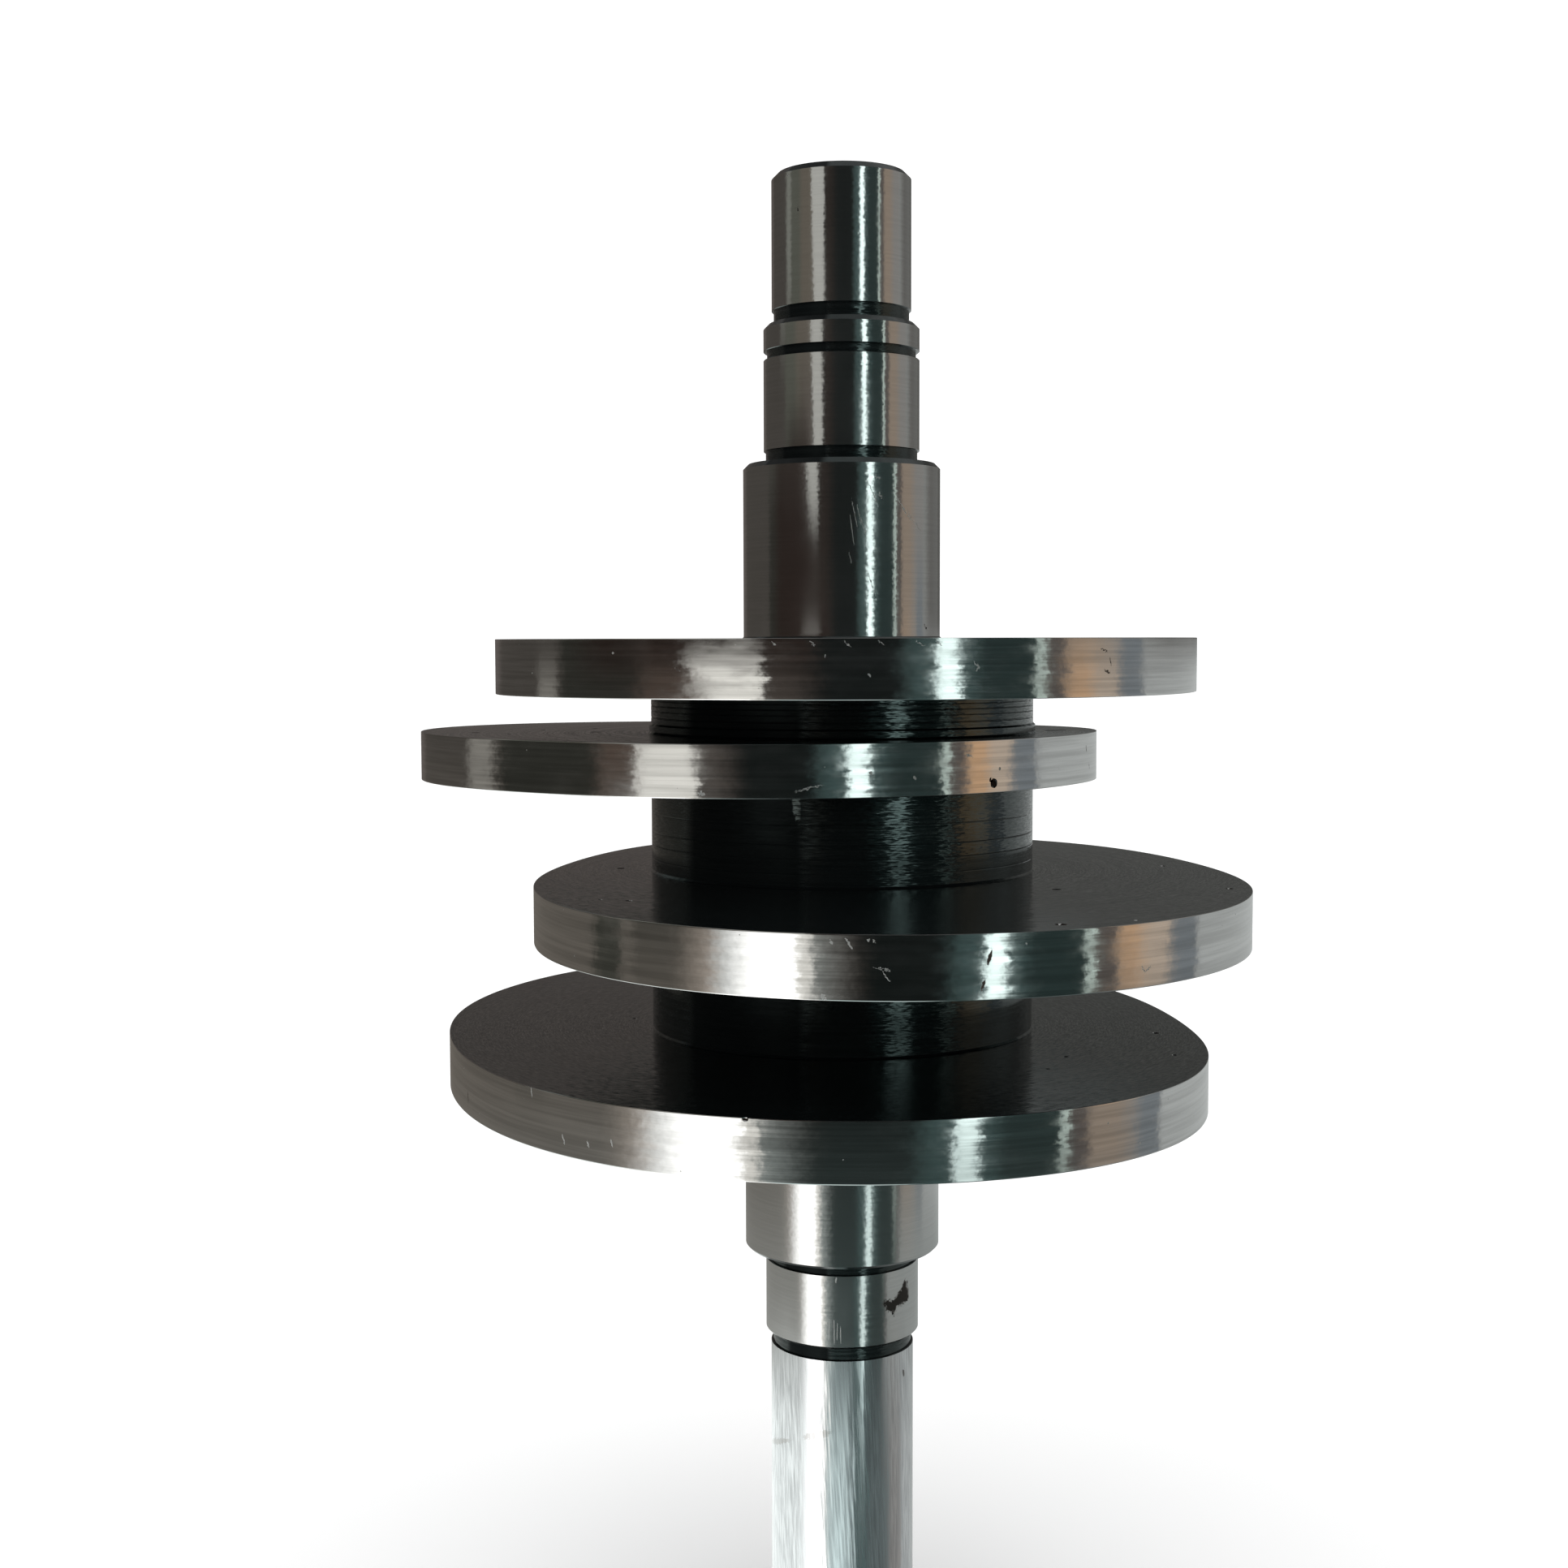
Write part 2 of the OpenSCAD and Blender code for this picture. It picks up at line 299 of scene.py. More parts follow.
pits.solver = "MANIFOLD"
pits.object = pit_cutter
bpy.ops.object.modifier_apply(modifier="pits")
bpy.data.objects.remove(pit_cutter)
camshaft.data.materials.clear()

# Faces that meet at less than this angle are shaded as one round surface
SMOOTH_BELOW = 32
bpy.ops.object.shade_smooth_by_angle(angle=math.radians(SMOOTH_BELOW))


def add_node(tree, kind, inputs=None, **settings):
    """Adds a shader node, with its settings and with what its sockets hold or are linked to."""
    made = tree.nodes.new(kind)
    for name, value in settings.items():
        setattr(made, name, value)
    for socket, value in (inputs or {}).items():
        if isinstance(value, bpy.types.NodeSocket):
            tree.links.new(value, made.inputs[socket])
        else:
            made.inputs[socket].default_value = value
    return made


def do_math(tree, operation, first, second=0.0):
    """A sum with one or two values."""
    return add_node(tree, "ShaderNodeMath", {0: first, 1: second}, operation=operation).outputs[0]


def do_vector(tree, operation, first, second=(0, 0, 0)):
    """A sum with one or two vectors."""
    return add_node(tree, "ShaderNodeVectorMath", {0: first, 1: second}, operation=operation).outputs[0]


def length_of(tree, vector):
    """A vector's length."""
    return add_node(tree, "ShaderNodeVectorMath", {0: vector}, operation="LENGTH").outputs["Value"]


def split(tree, vector):
    """The X, Y and Z of a vector."""
    return add_node(tree, "ShaderNodeSeparateXYZ", {0: vector}).outputs


def join(tree, x, y, z=0.0):
    """The vector with this X, Y and Z."""
    return add_node(tree, "ShaderNodeCombineXYZ", {0: x, 1: y, 2: z}).outputs[0]


def side_of(tree, x, y):
    """The angle round the shaft in radians, from the camera's side on and growing to its right."""
    return do_math(tree, "ARCTAN2", x, do_math(tree, "MULTIPLY", y, -1.0))


def in_degrees(tree, angle):
    """An angle in degrees, from one in radians."""
    return do_math(tree, "MULTIPLY", angle, math.degrees(1))


def around_shaft(tree):
    """The direction round the shaft, along the surface."""
    return add_node(tree, "ShaderNodeTangent", direction_type="RADIAL", axis="Z").outputs["Tangent"]


def new_finish(name, metallic, anisotropic=0.0):
    """A new material on the camshaft: returns its node tree, its shader and the place on the piece."""
    material = bpy.data.materials.new(name)
    material.use_nodes = True
    camshaft.data.materials.append(material)
    tree = material.node_tree
    shader = tree.nodes["Principled BSDF"]
    shader.inputs["Metallic"].default_value = metallic
    shader.inputs["Anisotropic"].default_value = anisotropic
    tree.links.new(around_shaft(tree), shader.inputs["Tangent"])
    place = add_node(tree, "ShaderNodeTexCoord").outputs["Object"]
    return tree, shader, place


def noise_on(tree, place, grains, detail=2.0, roughness=0.5):
    """Noise on the piece, with its own number of grains to the metre along X, Y and Z."""
    scaled = do_vector(tree, "MULTIPLY", place, grains)
    sockets = {"Vector": scaled, "Scale": 1.0, "Detail": detail, "Roughness": roughness}
    return add_node(tree, "ShaderNodeTexNoise", sockets).outputs["Fac"]


def remap(tree, value, low, high, to_low, to_high):
    """Maps a value smoothly from one range to another."""
    sockets = {"Value": value, "From Min": low, "From Max": high, "To Min": to_low, "To Max": to_high}
    return add_node(tree, "ShaderNodeMapRange", sockets, interpolation_type="SMOOTHSTEP").outputs[0]


# Noise seldom leaves this range
NOISE_LOW = 0.3
NOISE_HIGH = 0.7


def spread(tree, noise, to_low, to_high):
    """Maps noise from its usual range to another."""
    return remap(tree, noise, NOISE_LOW, NOISE_HIGH, to_low, to_high)


def blend_colours(tree, share, first, second):
    """Mixes two colours by a share from 0 to 1."""
    mixed = add_node(tree, "ShaderNodeMix", {"Factor": share}, data_type="RGBA")
    # The colour sockets are the seventh and eighth, as the node's sockets for numbers share their names
    for socket, value in ((6, first), (7, second)):
        if isinstance(value, bpy.types.NodeSocket):
            tree.links.new(value, mixed.inputs[socket])
        else:
            mixed.inputs[socket].default_value = (*value, 1)
    return mixed.outputs[2]


def bump_on(tree, height, depth_mm, under):
    """Bumps of a true depth in millimetres, on top of others."""
    sockets = {"Height": height, "Distance": depth_mm * MM, "Strength": 1.0, "Normal": under}
    return add_node(tree, "ShaderNodeBump", sockets).outputs["Normal"]


def streaks_on(tree, streak, angle, under=None):
    """Streaks, each of which leans the surface round the shaft by up to an angle in degrees."""
    facing = under or add_node(tree, "ShaderNodeNewGeometry").outputs["Normal"]
    lean = math.tan(math.radians(angle))
    turn = add_node(
        tree,
        "ShaderNodeMapRange",
        {"Value": streak, "From Min": NOISE_LOW, "From Max": NOISE_HIGH, "To Min": -lean, "To Max": lean},
        clamp=False,
    ).outputs[0]
    sockets = {0: around_shaft(tree), "Scale": turn}
    sideways = add_node(tree, "ShaderNodeVectorMath", sockets, operation="SCALE").outputs[0]
    return do_vector(tree, "NORMALIZE", do_vector(tree, "ADD", facing, sideways))


def unrolled(tree, place, radius, wobble_mm):
    """The surface laid flat, in millimetres: round the shaft from the camera's side, and up. Ragged."""
    x, y, z = split(tree, place)
    around = do_math(tree, "MULTIPLY", side_of(tree, x, y), radius)
    ragged = noise_on(tree, place, (2600, 2600, 2600), detail=1)
    height = do_math(tree, "MULTIPLY", z, 1 / MM)
    height = do_math(tree, "ADD", height, spread(tree, ragged, -wobble_mm, wobble_mm))
    return join(tree, around, height)


# A mark is whole up to the first share of its half width and gone at the second. It is rougher than the
# steel beside it.
MARK_WHOLE = 0.7
MARK_GONE = 1.1
MARK_ROUGHNESS = 0.6


def marks_on(tree, flat, radius, marks):
    """1 on slim marks and 0 beside them. Each runs from a side in degrees and a height to another."""
    nearest = None
    for start_side, start_z, end_side, end_z, width in marks:
        start = Vector((math.radians(start_side) * radius, start_z, 0))
        end = Vector((math.radians(end_side) * radius, end_z, 0))
        along = end - start
        shape = {
            "Vector": flat,
            "Location": tuple((start + end) / 2),
            "Rotation": (0, 0, math.atan2(along.y, along.x)),
            "Scale": (along.length / 2 + width / 2, width / 2, 1),
        }
        placed = add_node(tree, "ShaderNodeMapping", shape, vector_type="TEXTURE").outputs[0]
        away = length_of(tree, placed)
        nearest = do_math(tree, "MINIMUM", nearest, away) if nearest else away
    return remap(tree, nearest, MARK_WHOLE, MARK_GONE, 1, 0)


def roughen_marks(tree, rough, light, dark):
    """A finish's roughness, raised on its light and its dark marks."""
    marked = do_math(tree, "MAXIMUM", light, dark)
    return do_math(tree, "MAXIMUM", rough, do_math(tree, "MULTIPLY", marked, MARK_ROUGHNESS))


# Ground steel, on the journals, seats, collar and stub: bright, with fine grinding lines round the shaft,
# and a little duller below the cams. A mark has a side and a height at each end, and its width, and is
# laid out on a cylinder of a middle radius.
GROUND_R = 17.0
GROUND_BRIGHT = (0.625, 0.625, 0.615)
GROUND_DULL = (0.585, 0.585, 0.575)
SCRATCH = (0.5, 0.5, 0.49)
GROUND_SMUDGE = (0.06, 0.055, 0.05)
GROUND_ROUGHNESS = (0.08, 0.11)
# Added to the roughness up to the first height, and fading out towards the second
ROUGHER_BELOW = 0.03
ROUGHER_UP_TO = 100
ROUGHER_GONE = 112
GROUND_DARK_MARKS = [
    (31.5, 69.4, 38.0, 69.0, 1.4),
    (35.5, 68.9, 39.5, 68.2, 2.3),
    (39.5, 69.0, 48.0, 69.4, 1.8),
    (46.0, 69.5, 53.0, 70.2, 3.3),
    (50.0, 70.9, 52.6, 72.2, 1.5),
    (52.0, 69.0, 55.5, 69.3, 1.8),
    (38.5, 67.3, 40.0, 66.7, 0.5),
    (33.0, 68.2, 34.5, 67.8, 0.5),
    (55.0, 71.6, 56.2, 72.4, 0.4),
    (53.5, 199.3, 56.5, 198.4, 0.3),
    (-39.0, 277.0, -38.4, 276.2, 0.4),
]
GROUND_LIGHT_MARKS = [
    (31.0, 222.9, 38.0, 219.9, 0.3),
    (38.0, 219.9, 51.0, 216.6, 0.2),
    (38.5, 220.6, 42.5, 218.9, 0.15),
    (12.0, 226.4, 19.5, 221.2, 0.16),
    (9.0, 219.2, 12.5, 215.6, 0.16),
    (4.0, 222.4, 7.5, 216.8, 0.14),
    (7.0, 221.4, 9.5, 217.6, 0.12),
    (3.0, 219.8, 5.5, 213.6, 0.14),
    (2.5, 212.6, 4.0, 210.4, 0.12),
    (12.5, 209.6, 18.5, 204.0, 0.12),
    (20.0, 223.4, 21.5, 222.8, 0.35),
    (17.5, 226.7, 20.5, 226.2, 0.25),
    (-50.5, 283.4, -48.5, 283.2, 0.4),
    (-11.0, 66.8, -11.4, 62.6, 0.18),
    (-7.5, 67.2, -7.3, 62.0, 0.2),
    (-5.0, 66.3, -5.4, 62.8, 0.18),
    (-2.8, 65.6, -2.6, 62.4, 0.22),
    (-14.6, 65.6, -14.4, 62.2, 0.14),
    (-6.0, 74.9, -6.0, 74.3, 0.45),
]
tree, shader, place = new_finish("ground_steel", 1.0, anisotropic=0.6)
lines = noise_on(tree, place, (60, 60, 2600), detail=3)
fuzz = noise_on(tree, place, (1900, 1900, 1300), detail=3, roughness=0.6)
patches = noise_on(tree, place, (120, 120, 60))
flat = unrolled(tree, place, GROUND_R, wobble_mm=0.3)
dark = marks_on(tree, flat, GROUND_R, GROUND_DARK_MARKS)
light = marks_on(tree, flat, GROUND_R, GROUND_LIGHT_MARKS)
steel = blend_colours(tree, spread(tree, lines, 0, 1), GROUND_BRIGHT, GROUND_DULL)
steel = blend_colours(tree, light, steel, SCRATCH)
steel = blend_colours(tree, dark, steel, GROUND_SMUDGE)
tree.links.new(steel, shader.inputs["Base Color"])
rough = remap(tree, patches, 0.35, 0.65, *GROUND_ROUGHNESS)
height = split(tree, place)["Z"]
below = remap(tree, height, ROUGHER_UP_TO * MM, ROUGHER_GONE * MM, ROUGHER_BELOW, 0)
rough = do_math(tree, "ADD", rough, below)
rough = roughen_marks(tree, rough, light, dark)
tree.links.new(rough, shader.inputs["Roughness"])
leaning = streaks_on(tree, fuzz, angle=0.9)
leaning = streaks_on(tree, lines, angle=0.4, under=leaning)
tree.links.new(leaning, shader.inputs["Normal"])

# Rim steel, on the cams' edges: ground along the outline in streaks, and worn bright by the followers.
# Its marks are laid out on a cylinder too, and the finest light ones are specks all over it.
RIM_R = 75.0
RIM_BRIGHT = (0.68, 0.68, 0.67)
RIM_DULL = (0.5, 0.5, 0.49)
RIM_STAIN = (0.1, 0.08, 0.07)
RIM_ROUGHNESS = (0.06, 0.12)
SPECK_FROM = 0.785
SPECK_WHOLE = 0.82
SPECK_STRENGTH = 0.8
RIM_DARK_MARKS = [
    (12.0, 149.4, 11.7, 147.7, 0.5),
    (11.4, 145.0, 11.1, 143.6, 0.4),
    (-62.6, 115.6, -62.3, 113.8, 0.5),
    (40.2, 194.8, 41.6, 194.5, 0.3),
    (41.0, 191.3, 42.2, 190.7, 0.35),
    (42.2, 193.2, 42.5, 192.0, 0.25),
    (77.0, 176.6, 77.6, 174.9, 0.3),
    (79.5, 173.0, 80.0, 171.8, 0.25),
    (-26.4, 191.9, -25.8, 191.4, 0.5),
]
RIM_LIGHT_MARKS = [
    (-11.7, 196.2, -11.0, 195.5, 0.18),
    (-6.2, 196.2, -5.3, 195.5, 0.18),
    (-1.2, 196.2, -0.2, 195.3, 0.2),
    (3.6, 196.2, 4.6, 195.6, 0.18),
    (9.0, 196.2, 10.4, 195.5, 0.18),
    (12.0, 196.2, 12.9, 195.6, 0.18),
    (17.8, 192.7, 18.6, 192.0, 0.3),
    (18.6, 192.0, 18.1, 191.3, 0.3),
    (-27.0, 170.4, -26.2, 170.2, 0.7),
    (-10.6, 170.6, -5.0, 171.8, 0.25),
    (4.0, 173.9, 4.4, 173.7, 0.5),
    (13.6, 172.8, 14.0, 172.6, 0.5),
    (26.5, 176.4, 28.5, 176.0, 0.4),
    (-2.6, 151.1, -2.5, 150.8, 0.4),
    (-1.3, 151.7, -0.6, 150.0, 0.25),
    (0.8, 151.5, 0.9, 151.4, 0.35),
    (1.3, 151.3, 1.4, 151.2, 0.3),
    (1.2, 147.2, 2.9, 146.8, 0.14),
    (2.1, 146.6, 2.8, 145.2, 0.14),
    (-3.3, 142.6, -3.2, 142.5, 0.6),
    (28.3, 145.3, 28.9, 144.4, 0.25),
    (28.9, 144.4, 29.5, 145.2, 0.25),
    (-42.1, 121.8, -41.9, 119.8, 0.3),
    (-36.1, 114.8, -35.7, 113.6, 0.35),
    (-32.0, 114.9, -31.7, 113.9, 0.3),
    (-28.4, 115.6, -28.2, 114.8, 0.3),
]
tree, shader, place = new_finish("rim_steel", 1.0, anisotropic=0.6)
streaks = noise_on(tree, place, (22, 22, 1100), detail=3, roughness=0.6)
clouds = noise_on(tree, place, (130, 130, 300), detail=3, roughness=0.6)
fuzz = noise_on(tree, place, (900, 900, 900), detail=3, roughness=0.65)
grit = noise_on(tree, place, (800, 800, 800), detail=1)
flat = unrolled(tree, place, RIM_R, wobble_mm=0.2)
dark = marks_on(tree, flat, RIM_R, RIM_DARK_MARKS)
light = marks_on(tree, flat, RIM_R, RIM_LIGHT_MARKS)
specks = remap(tree, grit, SPECK_FROM, SPECK_WHOLE, 0, SPECK_STRENGTH)
light = do_math(tree, "MAXIMUM", light, specks)
steel = blend_colours(tree, spread(tree, streaks, 0, 1), RIM_BRIGHT, RIM_DULL)
steel = blend_colours(tree, light, steel, SCRATCH)
steel = blend_colours(tree, dark, steel, RIM_STAIN)
tree.links.new(steel, shader.inputs["Base Color"])
rough = remap(tree, clouds, 0.35, 0.7, *RIM_ROUGHNESS)
rough = roughen_marks(tree, rough, light, dark)
tree.links.new(rough, shader.inputs["Roughness"])
leaning = streaks_on(tree, streaks, angle=0.6)
leaning = streaks_on(tree, fuzz, angle=0.6, under=leaning)
leaning = streaks_on(tree, clouds, angle=0.4, under=leaning)
tree.links.new(leaning, shader.inputs["Normal"])

# Drawn steel, on the tail: satin, with fine, slightly slanted scratches along the shaft, two faint
# darker bands round its left front and a stain near its upper end
SLANT = 0.06
TAIL_BRIGHT = (0.8, 0.81, 0.82)
TAIL_DULL = (0.53, 0.54, 0.55)
TAIL_BAND_COLOUR = (0.36, 0.34, 0.32)
TAIL_STAIN = (0.16, 0.15, 0.14)
TAIL_ROUGHNESS = (0.13, 0.21)
BAND_STRENGTH = 0.5
TAIL_DARK_MARKS = [(56.5, 54.4, 57.5, 53.5, 0.7)]
TAIL_DARK_BANDS = [
    (-86.0, 37.8, -48.0, 41.2, 1.2),
    (-32.0, 42.8, -12.0, 44.4, 1.6),
]
tree, shader, place = new_finish("drawn_steel", 1.0, anisotropic=0.3)
x, y, z = split(tree, place)
slanted = join(tree, do_math(tree, "ADD", x, do_math(tree, "MULTIPLY", z, SLANT)), y, z)
scratches = noise_on(tree, slanted, (2600, 2600, 90), detail=3, roughness=0.6)
flat = unrolled(tree, place, TAIL_R, wobble_mm=0.2)
dark = marks_on(tree, flat, TAIL_R, TAIL_DARK_MARKS)
# The tail is darker in two faint bands that slant round its left front
darker_band = do_math(tree, "MULTIPLY", marks_on(tree, flat, TAIL_R, TAIL_DARK_BANDS), BAND_STRENGTH)
steel = blend_colours(tree, spread(tree, scratches, 0, 1), TAIL_BRIGHT, TAIL_DULL)
steel = blend_colours(tree, darker_band, steel, TAIL_BAND_COLOUR)
steel = blend_colours(tree, dark, steel, TAIL_STAIN)
tree.links.new(steel, shader.inputs["Base Color"])
tree.links.new(spread(tree, scratches, *TAIL_ROUGHNESS), shader.inputs["Roughness"])
tree.links.new(streaks_on(tree, scratches, angle=3.2), shader.inputs["Normal"])

# Black oxide, on all that isn't ground: a thin, smooth skin over lines that run round the shaft on the
# hub and in rings on the cams' faces. On the hub's left front its shine is dulled and roughened in a
# stretch of painted shade, so that it mirrors nothing there but in one spot left out of the shade.
SKIN_DARK = (0.0022, 0.003, 0.0032)
SKIN_LIGHT = (0.0032, 0.004, 0.0042)
SKIN_TINT = (0.82, 1.0, 0.98, 1)
SKIN_IOR = 1.75
SKIN_SHEEN = (0.47, 0.35)
SKIN_ROUGHNESS = (0.09, 0.19)
# The stretch of painted shade runs between two sides in degrees and out to a radius, each with its
# softness
SHADE_FROM = -52.0
SHADE_FROM_SOFT = 4
SHADE_TO = -11.5
SHADE_TO_SOFT = 3
SHADE_REACH = 38.5
SHADE_REACH_SOFT = 0.5
SHADE_DULLING = 0.9
SHADE_ROUGHER = 0.2
# The one spot in the painted shade where the hub keeps its shine, laid out as a mark
UNSHADED_SPOTS = [(-14.5, 169.2, -13.8, 165.0, 1.6)]
tree, shader, place = new_finish("black_oxide", 0.0)
shader.inputs["IOR"].default_value = SKIN_IOR
shader.inputs["Specular Tint"].default_value = SKIN_TINT
x, y, z = split(tree, place)
outward = length_of(tree, join(tree, x, y))
ringed = join(tree, x, y, do_math(tree, "ADD", outward, z))
lines = noise_on(tree, ringed, (30, 30, 2300), detail=3, roughness=0.6)
dashes = noise_on(tree, ringed, (600, 600, 4200), detail=1)
stains = noise_on(tree, place, (90, 90, 90), detail=3, roughness=0.6)
skin = blend_colours(tree, spread(tree, lines, 0, 1), SKIN_DARK, SKIN_LIGHT)
tree.links.new(skin, shader.inputs["Base Color"])
side = in_degrees(tree, side_of(tree, x, y))
# Painted shade on the hub's reflections: a share that dulls its shine and roughens it on the left front
unshaded_spot = marks_on(tree, unrolled(tree, place, HUB_R, wobble_mm=0.8), HUB_R, UNSHADED_SPOTS)
painted_shade = remap(tree, side, SHADE_FROM - SHADE_FROM_SOFT, SHADE_FROM + SHADE_FROM_SOFT, 0, 1)
for bound in (
    remap(tree, side, SHADE_TO - SHADE_TO_SOFT, SHADE_TO + SHADE_TO_SOFT, 1, 0),
    do_math(tree, "SUBTRACT", 1.0, unshaded_spot),
    remap(tree, outward, SHADE_REACH * MM, (SHADE_REACH + SHADE_REACH_SOFT) * MM, 1, 0),
):
    painted_shade = do_math(tree, "MULTIPLY", painted_shade, bound)
sheen = remap(tree, stains, 0.35, 0.7, *SKIN_SHEEN)
shine = do_math(tree, "SUBTRACT", 1.0, do_math(tree, "MULTIPLY", painted_shade, SHADE_DULLING))
tree.links.new(do_math(tree, "MULTIPLY", sheen, shine), shader.inputs["Specular IOR Level"])
rough = remap(tree, lines, 0.35, 0.65, *SKIN_ROUGHNESS)
rough = do_math(tree, "ADD", rough, do_math(tree, "MULTIPLY", painted_shade, SHADE_ROUGHER))
tree.links.new(rough, shader.inputs["Roughness"])
leaning = streaks_on(tree, dashes, angle=3.2)
tree.links.new(bump_on(tree, lines, depth_mm=0.005, under=leaning), shader.inputs["Normal"])

# Pit dirt, in the pits of the cams: old oil and rust, matt and nearly black
DIRT_DARK = (0.004, 0.003, 0.002)
DIRT_BROWN = (0.012, 0.008, 0.006)
DIRT_ROUGHNESS = (0.6, 0.85)
DIRT_SHEEN = 0.05
tree, shader, place = new_finish("pit_dirt", 0.0)
grime = noise_on(tree, place, (1500, 1500, 1500))
dirt = blend_colours(tree, spread(tree, grime, 0, 1), DIRT_DARK, DIRT_BROWN)
tree.links.new(dirt, shader.inputs["Base Color"])
tree.links.new(spread(tree, grime, *DIRT_ROUGHNESS), shader.inputs["Roughness"])
shader.inputs["Specular IOR Level"].default_value = DIRT_SHEEN

# Faces are given their finish by their place. On the shaft, the upright faces of the ground steps and of
# the tail are bright. Further out there are only the cams, whose rims are bright but for their pits.
GROUND_FINISH, RIM_FINISH, DRAWN_FINISH, BLACK_FINISH, DIRT_FINISH = range(5)
GROUND_STEPS = [
    (LOWER_SEAT_Z, LOWER_SEAT_TOP),
    (LOWER_JOURNAL_Z, cam_levels("cam_4")[0]),
    (UPPER_JOURNAL_Z, UPPER_SEAT_Z),
    (UPPER_SEAT_FOOT, RING_GROOVE_Z),
    (COLLAR_Z, STUB_RELIEF_Z),
    (STUB_Z, TOP_Z),
]
CAMS_ONLY_R = HUB_R + 1.0
# The upward or downward share of a normal is under UPRIGHT on the shaft's upright faces, and no less than
# CAM_FACE on a cam's flat faces. A pit's faces lie deeper than PIT_DEPTH under the rim's outline, or
# further than PIT_EDGE from the cam's flat faces.
UPRIGHT = 0.6
CAM_FACE = 0.95
PIT_DEPTH = 0.12
PIT_EDGE = 0.005


def on_rim(face, radius, height):
    """Whether a face belongs to a cam's rim, and not to a flat face or the inside of a pit."""
    if abs(face.normal.z) >= CAM_FACE:
        return False
    for cam in CAMS:
        low_z, high_z = cam_levels(cam)
        if low_z < height < high_z:
            outline = cam_radius(cam, math.degrees(math.atan2(face.center.y, face.center.x)))
            on_edge = min(height - low_z, high_z - height) < CAM_BREAK
            return on_edge or radius > outline - PIT_DEPTH
    return False


def in_pit(height):
    """Whether a face that isn't on a cam's rim lies between its two flat faces, in a pit."""
    return any(low_z + PIT_EDGE < height < high_z - PIT_EDGE for low_z, high_z in map(cam_levels, CAMS))


for face in camshaft.data.polygons:
    radius = face.center.to_2d().length / MM
    height = face.center.z / MM
    face.material_index = BLACK_FINISH
    if radius > CAMS_ONLY_R:
        if on_rim(face, radius, height):
            face.material_index = RIM_FINISH
        elif in_pit(height):
            face.material_index = DIRT_FINISH
    elif abs(face.normal.z) < UPRIGHT and radius > CENTRE_MOUTH_R:
        if height < TAIL_TOP:
            face.material_index = DRAWN_FINISH
        elif any(low < height < high for low, high in GROUND_STEPS):
            face.material_index = GROUND_FINISH

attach(camshaft, "root")
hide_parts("camshaft")


# The floor: a wide, pale, matt sheet under the shaft's lower end, which runs out of sight on all sides.
# It is no part of the camshaft, and the steel doesn't mirror it.
FLOOR_HALF = 30.0
FLOOR_COLOUR = (0.98, 0.98, 0.98, 1)
bpy.ops.object.select_all(action="DESELECT")
bpy.ops.mesh.primitive_plane_add(size=2 * FLOOR_HALF, location=(0, 0, 0))
floor = bpy.context.object
floor.name = "floor"
paper = bpy.data.materials.new("pale_floor")
paper.use_nodes = True
shader = paper.node_tree.nodes["Principled BSDF"]
shader.inputs["Base Color"].default_value = FLOOR_COLOUR
shader.inputs["Roughness"].default_value = 1.0
shader.inputs["Specular IOR Level"].default_value = 0.0
floor.data.materials.append(paper)
floor.visible_glossy = False


# The light: an even white surround for the floor, and a studio of soft panels that the steel mirrors.
# The panels are placed in degrees as seen from the camshaft: SIDE goes round it, from the camera on and
# growing to its right, and RISE goes up from the horizon.
world = bpy.data.worlds.new("studio")
world.use_nodes = True
bpy.context.scene.world = world
sky = world.node_tree
background = sky.nodes["Background"]
toward = add_node(sky, "ShaderNodeTexCoord").outputs["Generated"]
x, y, z = split(sky, toward)
SIDE = in_degrees(sky, side_of(sky, x, y))
RISE = in_degrees(sky, do_math(sky, "ARCSINE", z))


def past_edge(angle, edge, opening):
    """The part of the studio that lies past a panel's soft edge: 1 where the panel is, and 0 beyond."""
    at, *lean, soft = edge
    if lean:
        angle = do_math(sky, "SUBTRACT", angle, do_math(sky, "MULTIPLY", RISE, lean[0]))
    return remap(sky, angle, at - soft / 2, at + soft / 2, 1 - opening, opening)


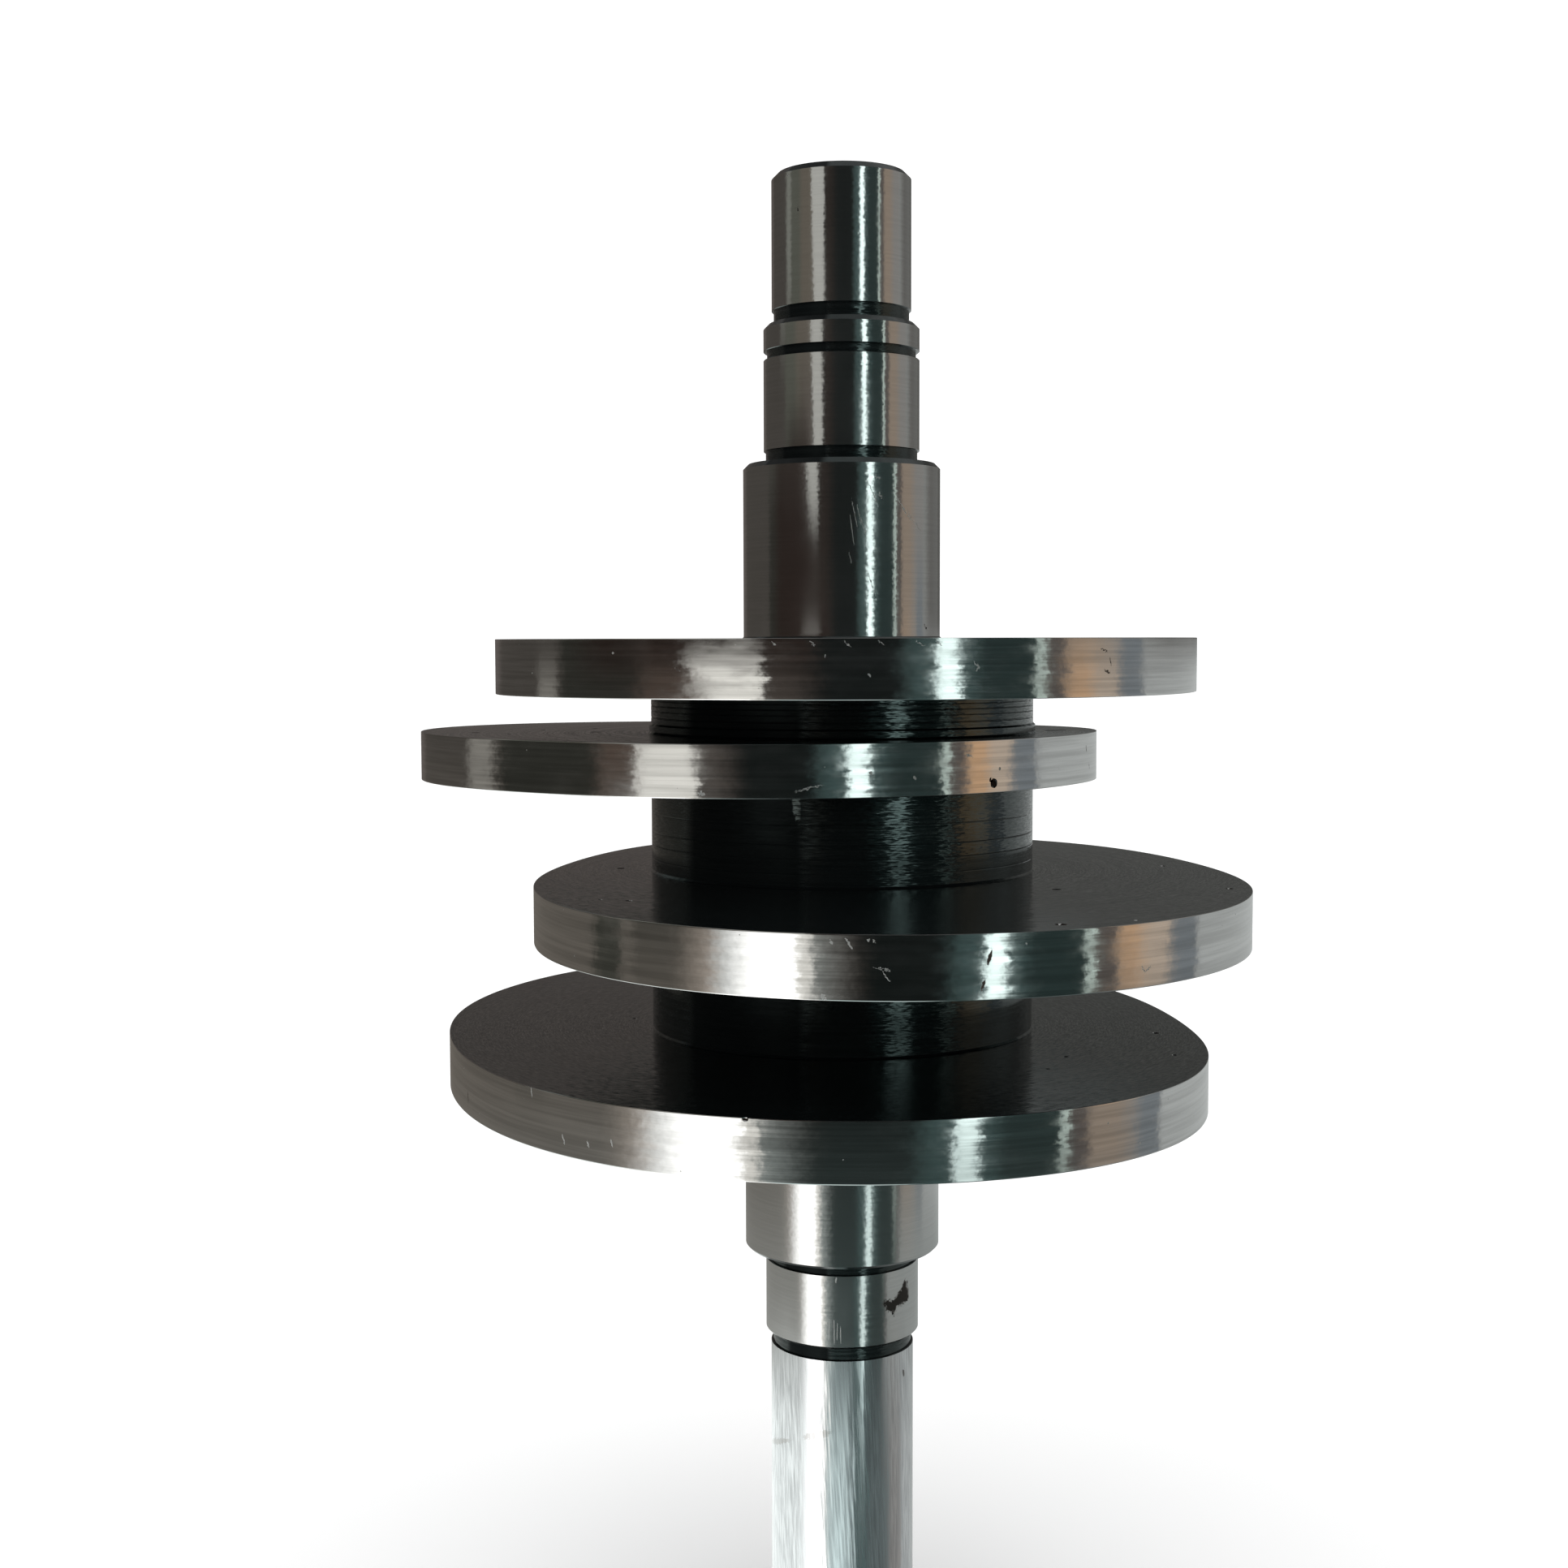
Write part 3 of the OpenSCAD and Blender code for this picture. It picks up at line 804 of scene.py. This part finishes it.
# Each panel's left, right, lower and upper edge, its colour and its brightness. An edge is its angle and
# how soft it is. Where it isn't upright, its lean sideways for each degree of rise stands between them.
# A panel covers those before it, and has no edge where None stands.
PANELS = [
    ("left_wall", (-150, 10), (-60, 16), None, None, (1.0, 0.9, 0.8), 0.078),
    ("left_wall_foot", None, (-60, 16), None, (-5, 7), (1.0, 0.9, 0.78), 0.15),
    ("post", (-113, 6), (-100, 4), (-11.5, 3), (-6.5, 2), (1.0, 1.0, 0.84), 0.06),
    ("grey_high", (-92, 8), (-64, 8), (5, 5), None, (0.97, 1.0, 0.83), 0.12),
    ("dark_gap", (-94, 5), (-60, 10), (-8, 6), (4.5, 4), (1.0, 1.0, 0.84), 0.036),
    ("strip_high", (-103, 5), (-92, 5), (8.5, 4), None, (0.97, 1.0, 0.89), 0.25),
    ("strip_low", (-108, 6), (-97, 4), (-6.5, 3), (-0.9, 2), (1.0, 0.95, 0.86), 0.3),
    ("warm_high", (-72, 10), (-44, 8), (6.5, 5), None, (1.0, 0.88, 0.72), 0.16),
    ("warm_wall", (-62, 8), (-40, 8), (-7, 4), (-0.3, 2), (1.0, 0.74, 0.6), 0.11),
    ("warm_foot", (-68, 22), (-40, 8), None, (-7, 4), (1.0, 0.86, 0.74), 0.5),
    ("front_left", (-40, 10), (-2, 22), None, None, (1.0, 0.8, 0.68), 0.032),
    ("front_left_low", (-40, 10), (-8, 18), (-11, 4), (0.3, 1), (1.0, 0.84, 0.74), 0.08),
    ("front", (-14, 16), (20, 10), None, None, (0.78, 1.0, 0.95), 0.014),
    ("between_lamps", (17, 0.08, 8), (62, 4), None, None, (0.62, 1.0, 0.97), 0.045),
    ("table_glow", (-60, 8), (-23, 24), None, (-5, 4), (0.93, 1.0, 0.96), 0.36),
    ("table_left", None, (-40, 14), None, (-16, 10), (0.98, 1.0, 0.95), 0.41),
    ("table_front", (-40, 10), (66, 6), None, (-14, 5), (0.74, 1.0, 0.97), 0.062),
    ("table_shine", (-40, 10), (-21, 22), None, (-14, 4), (0.9, 1.0, 0.97), 0.5),
    ("table_near_right", (8, 30), (180, 40), None, (-20, 3), (0.82, 1.0, 1.0), 0.17),
    ("table_near", None, (-30, 26), None, (-19.5, 2.5), (0.95, 1.0, 0.98), 1.25),
    ("table_near_front", (-30, 20), (19, 42), None, (-20.8, 2.6), (0.84, 1.0, 0.99), 1.05),
    ("window_high", (-36, -1.3, 2.5), (-28.3, -0.1, 2.5), (3.3, 1.2), None, (1.0, 1.0, 0.94), 0.56),
    ("window_shade", (-84, 20), (-13.7, -6.8, 4), (-0.8, 1.2), (5.8, 1.6), (1.0, 0.7, 0.58), 0.03),
    ("window_low", (-49, 3.5), (-27.5, 3), None, (-2, 0.6), (1.0, 0.98, 0.92), 1.0),
    ("window_sill", (-53.5, -7.0, 3.5), (-27.5, 3), (-2, 0.6), (-0.5, 0.3), (1.0, 0.98, 0.92), 1.15),
    ("window_foot", (-49.3, 0.55, 24), (-32.6, 3), None, (-5.8, 4), (1.0, 1.0, 0.99), 2.2),
    ("lamp_glow", (18.5, 0.08, 8), (41, 0.08, 8), None, None, (0.62, 1.0, 0.98), 0.1),
    ("lamp", (28.1, 0.07, 2), (35.1, 0.07, 2), (-14, 4), None, (0.84, 1.0, 0.98), 1.95),
    ("lamp_foot", (27.6, 0.08, 2.5), (34.6, 0.08, 2.5), (-20.5, 2), (-14, 4), (0.84, 1.0, 0.98), 1.4),
    ("thin_lamp", (61.4, 1.5), (64.6, 1.5), (-15, 8), None, (0.84, 1.0, 0.92), 0.8),
    ("door_side", (80, 10), (110, 4), None, None, (1.0, 0.97, 0.93), 0.3),
    ("door", (72.2, 4.5), (90, 16), (-18.5, 3), None, (1.0, 0.81, 0.65), 0.345),
    ("door_sun_side", (80, 6), (95, 7), (-10, 4), (-0.6, 2.5), (1.0, 0.82, 0.66), 0.6),
    ("door_sun", (72.8, -0.1, 4.5), (83, 8), (-9, 4), (-0.6, 2.5), (1.0, 0.64, 0.38), 0.68),
    ("blue_shade", (96, 6), (108.5, 3), (-18.5, 3), (2, 3), (0.84, 0.93, 1.0), 0.265),
    ("right_wall", (108, 5), (120, 28), (-0.5, 3), None, (0.97, 1.0, 0.97), 0.31),
    ("right_wall_far", (122, 26), (152, 6), (-0.5, 3), None, (1.0, 1.0, 0.96), 0.17),
    ("back_right", (152, 6), None, (-1, 3), None, (1.0, 1.0, 0.95), 0.115),
    ("right_wall_foot", (108.5, 3), None, None, (-0.3, 2), (0.96, 1.0, 0.99), 0.52),
    ("table_right", (68, 8), None, (-20, 5), (-15, 3), (0.94, 1.0, 0.98), 0.38),
    ("ceiling", None, None, (38, 20), None, (1.0, 1.0, 1.0), 0.42),
]
BACK_WALL = (0.12, 0.105, 0.097)
SURROUND = (1.2, 1.2, 1.2, 1)
studio = BACK_WALL
for name, left, right, low, high, colour, brightness in PANELS:
    edges = [(SIDE, left, 1), (SIDE, right, 0), (RISE, low, 1), (RISE, high, 0)]
    inside = [past_edge(angle, edge, opening) for angle, edge, opening in edges if edge]
    share = inside[0]
    for more in inside[1:]:
        share = do_math(sky, "MULTIPLY", share, more)
    lit = tuple(brightness * part for part in colour)
    studio = blend_colours(sky, share, studio, lit)
    studio.node.label = name

# Only what is mirrored comes from the studio. The floor and the picture's ground see the even surround.
sky.links.new(studio, background.inputs["Color"])
plain = add_node(sky, "ShaderNodeBackground", {"Color": SURROUND})
ray = add_node(sky, "ShaderNodeLightPath")
either = {0: ray.outputs["Is Glossy Ray"], 1: plain.outputs[0], 2: background.outputs[0]}
seen = add_node(sky, "ShaderNodeMixShader", either)
sky.links.new(seen.outputs[0], sky.nodes["World Output"].inputs["Surface"])

# The camera: level with the top cam's upper face, 410 mm in front of the shaft's axis and tipped down by
# nearly 4 degrees
CAMERA_AT = (-11.25 * MM, -409.7 * MM, 196.2 * MM)
LENS_MM = 48.37
PITCH_DOWN = 3.863
ROLL = -0.15
camera_data = bpy.data.cameras.new("camera")
camera_data.lens = LENS_MM
camera_data.sensor_width = 36.0
camera_data.clip_start = 0.01
camera = bpy.data.objects.new("camera", camera_data)
bpy.context.collection.objects.link(camera)
pitch = Matrix.Rotation(math.radians(90 - PITCH_DOWN), 4, "X")
roll = Matrix.Rotation(math.radians(ROLL), 4, "Z")
camera.matrix_world = Matrix.Translation(Vector(CAMERA_AT)) @ (pitch @ roll)
bpy.context.scene.camera = camera
bpy.context.scene.view_settings.view_transform = "Standard"
